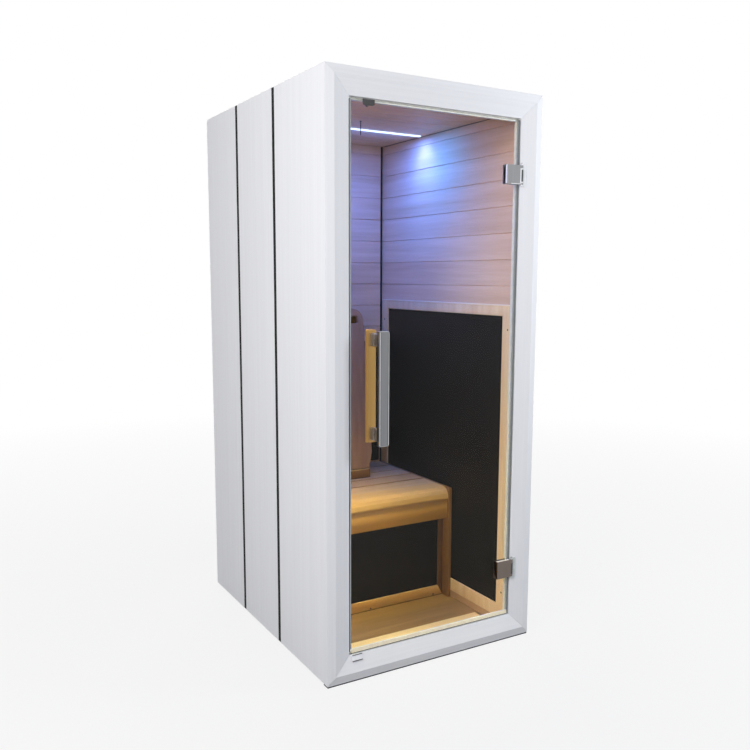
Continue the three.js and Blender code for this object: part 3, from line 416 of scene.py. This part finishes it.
def sleeve(name, centre, inner, outer, foot, top, material, body):
    """The front half of a tube around an upright pin."""
    first, sweep, steps = -150, 180, 18
    points, faces = [], []
    for step in range(steps + 1):
        angle = math.radians(first + sweep * step / steps)
        for radius, z in ((inner, foot), (outer, foot), (outer, top), (inner, top)):
            points.append((centre.x + radius * math.cos(angle), centre.y + radius * math.sin(angle), z))
    for base in range(0, 4 * steps, 4):
        for corner in range(4):
            after = (corner + 1) % 4
            faces.append((base + corner, base + 4 + corner, base + 4 + after, base + after))
    faces.append((0, 1, 2, 3))
    faces.append(tuple(4 * steps + corner for corner in (3, 2, 1, 0)))
    return piece(name, points, faces, material, body)


# A thin strip of much paler pine lies on the floor just behind the sill.
pale_strip_pine = wood("pale_strip_pine", srgb(244, 206, 140), srgb(252, 228, 176), "x", 0.4)
near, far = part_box("right_heater_trim")
slab("floor_pale_strip", (-0.345, near.y, near.z), (0.345, -0.308, near.z + 0.003),
     0.001, pale_strip_pine, "cabin")

# A thin lip and a black line close the front's foot down to the floor.
near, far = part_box("front_sill")
foot_front = near.y + 0.008
foot_rear = foot_front + 0.03
lip_foot = near.z - 0.002
slab("sill_lip", (near.x + 0.0005, foot_front, lip_foot), (far.x - 0.0005, foot_rear, near.z + 0.0004),
     0.0003, white_across, "cabin")
slab("plinth_line", (near.x + 0.001, foot_front + 0.0003, 0.0003), (far.x - 0.001, foot_rear, lip_foot),
     0.0003, black_trim, "cabin")

# A black strip paints the shadow line where each side lining meets the ceiling.
for side, name in SIDES:
    near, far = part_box(f"{name}_lining")
    wall = near.x if side > 0 else far.x
    rear_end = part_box("rear_lining")[0].y - 0.014
    across = sorted((wall, wall - side * 0.0014))
    slab(f"{name}_ceiling_painted_shadow", (across[0], near.y + 0.004, ceiling_z - 0.0022),
         (across[1], rear_end, ceiling_z - 0.0002), 0.0003, black_trim, "cabin")

# A bead closes each seam flush with the panels and laps over their rounded edges.
SEAM_LAP = 0.0036
for name in ("left_seam_rear", "left_seam_front", "right_seam_rear", "right_seam_front"):
    near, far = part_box(name)
    outer = near.x - 0.0011 if near.x < 0 else far.x + 0.0011
    inner = near.x + 0.0005 if near.x < 0 else far.x - 0.0005
    across = sorted((outer, inner))
    slab(name.replace("seam", "seam_bead"), (across[0], near.y - SEAM_LAP, near.z + 0.001),
         (across[1], far.y + SEAM_LAP, far.z + 0.0006), 0.0002, seam_black, "cabin")

for side, name in SIDES:
    near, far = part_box(f"{name}_heater_trim")
    face = near.x if side > 0 else far.x
    for column, y in enumerate((near.y + 0.05, far.y - 0.026)):
        for row, z in enumerate((near.z + 0.131, far.z - 0.09)):
            screw(f"{name}_trim_screw_{column}_{row}", (face, y, z), (-side, 0, 0), 0.0035, "cabin")

# A pale cap along the top of each side trim is a painted highlight, for its top edge catching the light.
cap_painted_highlight = wood("cap_painted_highlight", srgb(248, 226, 198), srgb(254, 240, 220), "y", 0.35)
for side, name in SIDES:
    near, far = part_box(f"{name}_heater_trim")
    face = near.x if side > 0 else far.x
    across = sorted((face - side * 0.0014, face + side * 0.006))
    slab(f"{name}_trim_cap_highlight", (across[0], near.y + 0.002, far.z - 0.0036),
         (across[1], far.y - 0.002, far.z + 0.0008), 0.0008, cap_painted_highlight, "cabin")

near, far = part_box("calf_heater_trim")
slab("calf_floor_joint", (near.x + 0.002, near.y - 0.0012, near.z), (far.x - 0.002, near.y, near.z + 0.0018),
     0.0003, black_trim, "cabin")
for index, x in enumerate((-0.3, 0.0, 0.3)):
    screw(f"calf_trim_screw_{index}", (x, near.y, near.z + 0.007), (0, -1, 0), 0.0035, "cabin")

# Each hinge leaf has a painted highlight along its edge, and a painted shadow in the slot where its knuckle turns.
PLATE_THICKNESS = 0.011
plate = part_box("door_glass")[0].y - PLATE_THICKNESS
for end, rim in (("top", hinge_white), ("bottom", hinge_steel_painted_shade)):
    name = f"{end}_hinge_leaf"
    near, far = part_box(name)
    slab(f"{name}_rim", (near.x - 0.0004, plate - 0.0003, near.z + 0.001),
         (near.x + 0.0008, plate + 0.006, far.z - 0.001), 0.0003, rim, "door")
    pin_low, pin_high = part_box(f"{end}_hinge_pin")
    pivot = (pin_low + pin_high) / 2
    sleeve(f"{end}_hinge_knuckle_shadow", pivot, 0.00452, 0.0049, near.z + 0.01, far.z - 0.0143,
           groove_painted_shade, "door")
    if end == "top":
        sleeve_foot, sleeve_top = near.z + 0.0052, far.z - 0.0098
        sleeve("top_hinge_sleeve", pivot, 0.00451, 0.0047, sleeve_foot, sleeve_top,
               hinge_white, "door")
        slab("top_hinge_lip", (pivot.x - 0.0083, plate - 0.0004, sleeve_foot),
             (pivot.x - 0.0037, plate + 0.0005, sleeve_top), 0.0002, hinge_white, "door")
        slab("top_hinge_leaf_foot", (near.x + 0.02, plate - 0.0004, near.z + 0.0004),
             (pivot.x - 0.005, plate + 0.0005, near.z + 0.003), 0.0002, hinge_white, "door")
    else:
        # A cream strip along the bottom leaf's top is a painted highlight.
        slab("bottom_hinge_leaf_cap", (near.x, plate, far.z - 0.0002),
             (near.x + 0.055, plate + 0.0105, far.z + 0.0008), 0.0003, hinge_painted_highlight, "door")
    for index, z in enumerate((near.z + 0.014, far.z - 0.014)):
        screw(f"{name}_screw_{index}", (near.x + 0.03, far.y, z), (0, 1, 0), 0.004, "door", chrome)

# A painted highlight line and a dark groove of painted shade run along both edges of the outer handle.
near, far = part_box("outer_handle")
line_foot, line_top = near.z + 0.004, far.z - 0.004
handle_edges = (("left", near.x + 0.0012, near.x + 0.0034), ("right", far.x - 0.0032, far.x - 0.0052))
for name, line, groove in handle_edges:
    slab(f"outer_handle_line_{name}", (line, near.y - 0.0003, line_foot),
         (line + 0.002, near.y + 0.0004, line_top), 0.0002, edge_painted_highlight, "door")
    slab(f"outer_handle_groove_{name}", (groove, near.y - 0.0002, line_foot),
         (groove + 0.0018, near.y + 0.0004, line_top), 0.0001, groove_painted_shade, "door")

# A painted highlight along the foot rail's top edge, and a painted contact shadow where it stands on the seat.
FOOT_RAIL_HEIGHT = 0.038
near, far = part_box("backrest_stand")
foot_top = near.z + FOOT_RAIL_HEIGHT
slab("foot_rail_highlight", (near.x + 0.001, near.y - 0.0008, foot_top - 0.003),
     (far.x - 0.001, near.y + 0.005, foot_top + 0.0004), 0.0005, front_pine, "backrest")
slab("foot_rail_shadow", (near.x + 0.001, near.y - 0.0008, near.z + 0.0003),
     (far.x - 0.001, near.y + 0.001, near.z + 0.0023), 0.0003, black_trim, "backrest")

# The hand slot is painted dark inside: a thin brown back, a painted shadow, closes it just short of the board's rear
# face.
BOARD_LENGTH = 0.686
BOARD_LEAN = math.radians(8)
near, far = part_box("backrest_board")
slot_painted_shade = plain("slot_painted_shade", srgb(112, 75, 22), 0.7, specular=0.1)
slot_shade = slab("hand_slot_shadow", (-0.151, 0.012, -0.0665), (0.151, 0.019, -0.0305),
                 0.0005, slot_painted_shade, "backrest")
board_top = Matrix.Translation((0, near.y + BOARD_LENGTH * math.sin(BOARD_LEAN), far.z))
slot_shade.data.transform(board_top @ Matrix.Rotation(-BOARD_LEAN, 4, "X"))

near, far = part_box("door_glass")
slab("door_arris", (near.x + 0.0004, near.y - 0.0008, near.z + 0.016),
     (near.x + 0.0036, near.y - 0.0001, far.z - 0.002), 0.0002, glass_arris, "door")
slab("door_sweep_fin", (near.x + 0.004, near.y - 0.0018, near.z - 0.0008),
     (far.x - 0.004, near.y - 0.0002, near.z + 0.0016), 0.0003, black_trim, "door")
# The sweep is a pale strip whose cream tint is painted warm light from inside.
slab("door_sweep", (near.x + 0.006, near.y - 0.0022, near.z + 0.001),
     (far.x - 0.006, near.y - 0.0002, near.z + 0.015), 0.0006, sweep_cream_painted_light, "door")

near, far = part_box("control_panel")
slab("control_display", (far.x - 0.0009, near.y + 0.0145, far.z - 0.0735),
     (far.x - 0.0001, far.y - 0.0145, far.z - 0.0185), 0.0002, display_black, "cabin")


# Floor, backdrop and lights


def ambient():
    world = bpy.data.worlds.new("studio")
    scene.world = world
    world.use_nodes = True
    tree = world.node_tree
    tree.nodes.clear()
    path = tree.nodes.new("ShaderNodeLightPath")
    seen = tree.nodes.new("ShaderNodeMath")
    seen.operation = "MAXIMUM"
    tree.links.new(path.outputs["Is Camera Ray"], seen.inputs[0])
    tree.links.new(path.outputs["Is Glossy Ray"], seen.inputs[1])
    seen_through = tree.nodes.new("ShaderNodeMath")
    seen_through.operation = "MAXIMUM"
    tree.links.new(seen.outputs[0], seen_through.inputs[0])
    tree.links.new(path.outputs["Is Transmission Ray"], seen_through.inputs[1])
    soft = tree.nodes.new("ShaderNodeBackground")
    soft.inputs[0].default_value = (0.93, 0.96, 1.0, 1)
    soft.inputs[1].default_value = 0.18
    white = tree.nodes.new("ShaderNodeBackground")
    white.inputs[0].default_value = (1, 1, 1, 1)
    white.inputs[1].default_value = 1.0
    mix = tree.nodes.new("ShaderNodeMixShader")
    tree.links.new(seen_through.outputs[0], mix.inputs[0])
    tree.links.new(soft.outputs[0], mix.inputs[1])
    tree.links.new(white.outputs[0], mix.inputs[2])
    output = tree.nodes.new("ShaderNodeOutputWorld")
    tree.links.new(mix.outputs[0], output.inputs[0])


def pale_floor():
    reach = 14.0
    mesh = bpy.data.meshes.new("studio_floor")
    corners = [(-reach, -reach, 0), (reach, -reach, 0), (reach, reach, 0), (-reach, reach, 0)]
    mesh.from_pydata(corners, [], [(0, 1, 2, 3)])
    floor = bpy.data.objects.new("studio_floor", mesh)
    scene.collection.objects.link(floor)
    surface = Surface("studio_floor")
    speck = surface.noise((40.0, 40.0, 40.0), 3.0)
    grey = surface.ramp(speck, [(0.3, (0.34, 0.34, 0.34)), (0.7, (0.37, 0.37, 0.37))])
    surface.set(Base_Color=grey, Roughness=0.8)
    tree = surface.tree
    path = surface.node("ShaderNodeLightPath")
    white = surface.node("ShaderNodeEmission", {"Color": (1, 1, 1, 1), "Strength": 1.0})
    away = surface.node("ShaderNodeVectorMath", {0: surface.coords}, operation="LENGTH").outputs["Value"]
    fading = {"Value": away, "From Min": 1.0, "From Max": 5.0, "To Min": 0.85, "To Max": 1.0}
    fade = surface.node("ShaderNodeMapRange", fading)
    seen = surface.math("MAXIMUM", path.outputs["Is Camera Ray"], path.outputs["Is Glossy Ray"])
    seen = surface.math("MAXIMUM", seen, path.outputs["Is Transmission Ray"])
    share = surface.math("MULTIPLY", seen, fade.outputs[0])
    mix = surface.node("ShaderNodeMixShader", {0: share, 1: surface.shader.outputs[0], 2: white.outputs[0]})
    tree.links.new(mix.outputs[0], tree.nodes["Material Output"].inputs[0])
    mesh.materials.append(surface.material)


def lamp(name, kind, place, target, power, colour=(1, 1, 1), size=0.1, size_y=None, cone=None, spread=180):
    data = bpy.data.lights.new(name, kind)
    data.energy = power
    data.color = colour
    if kind == "AREA":
        data.shape = "RECTANGLE"
        data.size = size
        data.size_y = size_y or size
        data.spread = math.radians(spread)
    else:
        data.shadow_soft_size = size
    if cone:
        data.spot_size = math.radians(cone)
        data.spot_blend = 0.9
    made = bpy.data.objects.new(name, data)
    made.location = place
    made.rotation_euler = (Vector(target) - Vector(place)).to_track_quat("-Z", "Y").to_euler()
    made.visible_camera = False
    made.visible_glossy = False
    scene.collection.objects.link(made)


ambient()
pale_floor()
lamp("left_fill", "AREA", (-2.9, -1.7, 2.2), (-0.3, -0.3, 1.2), 91, size=1.6)
lamp("front_fill", "AREA", (-0.7, -2.9, 1.1), (0.0, -0.5, 1.2), 3, size=1.2)
lamp("right_key", "AREA", (2.05, -1.8, 2.0), (0.2, -0.5, 1.5), 55, (0.93, 0.965, 1.0), size=0.8)
lamp("back_soft", "AREA", (0.4, 2.6, 3.2), (0.0, 0.3, 1.2), 64, size=2.0)
lamp("top_soft", "AREA", (0.0, 1.3, 4.1), (0.0, 0.1, 1.9), 20, size=1.4)
lamp("bar_blue", "AREA", (0.0, 0.12, 1.898), (0.0, 0.12, 0.0), 11.0, (0.056, 0.18, 1.0), 0.6, 0.03)
lamp("bar_up", "AREA", (0.0, 0.15, 1.83), (0.0, 0.15, 3.0), 0.5, (0.08, 0.22, 1.0), 0.62, 0.02)
lamp("bar_end", "SPOT", (0.25, 0.113, 1.885), (0.36, 0.105, 1.788), 0.52, (0.82, 0.95, 0.6), 0.012, cone=82)
lamp("bar_glow", "SPOT", (0.13, -0.005, 1.85), (0.36, -0.04, 1.66), 4.4, (0.0, 0.26, 1.0), 0.02, cone=132)
lamp("room_top", "AREA", (-0.15, -0.43, 1.89), (-0.1, -0.25, 0.3), 1.8, (1.0, 0.9, 0.4), 0.35, 0.05, spread=50)
lamp("room_left", "AREA", (-0.27, -0.30, 1.25), (-0.25, -0.11, 0.46), 0.3, (1.0, 0.86, 0.3), 0.06, 0.2, spread=50)
lamp("room_low", "AREA", (-0.325, -0.478, 0.42), (0.2, -0.2, 0.46), 0.36, (1.0, 0.86, 0.38), 0.02, 0.64, spread=110)
lamp("room_side", "AREA", (-0.33, -0.15, 1.2), (0.36, -0.15, 1.28), 0.1, (0.6, 0.72, 1.0), 0.2, 0.1, spread=60)


# Camera

AZIMUTH = math.radians(-31.00579)
ELEVATION = math.radians(7.71921)
ROLL = math.radians(0.33726)
flat = math.cos(ELEVATION)
back = Vector((math.sin(AZIMUTH) * flat, -math.cos(AZIMUTH) * flat, math.sin(ELEVATION)))
level_right = (-back).cross(Vector((0, 0, 1))).normalized()
level_up = level_right.cross(-back)
right = level_right * math.cos(ROLL) + level_up * math.sin(ROLL)
up = level_up * math.cos(ROLL) - level_right * math.sin(ROLL)
lens = bpy.data.cameras.new("camera")
lens.sensor_width = 36.0
lens.lens = 39.0882
lens.shift_x = -0.02103
lens.shift_y = 0.01833
camera = bpy.data.objects.new("camera", lens)
turn = Matrix((right, up, back)).transposed().to_4x4()
camera.matrix_world = Matrix.Translation((-1.5343038, -2.7781839, 1.3266485)) @ turn
scene.collection.objects.link(camera)
scene.camera = camera
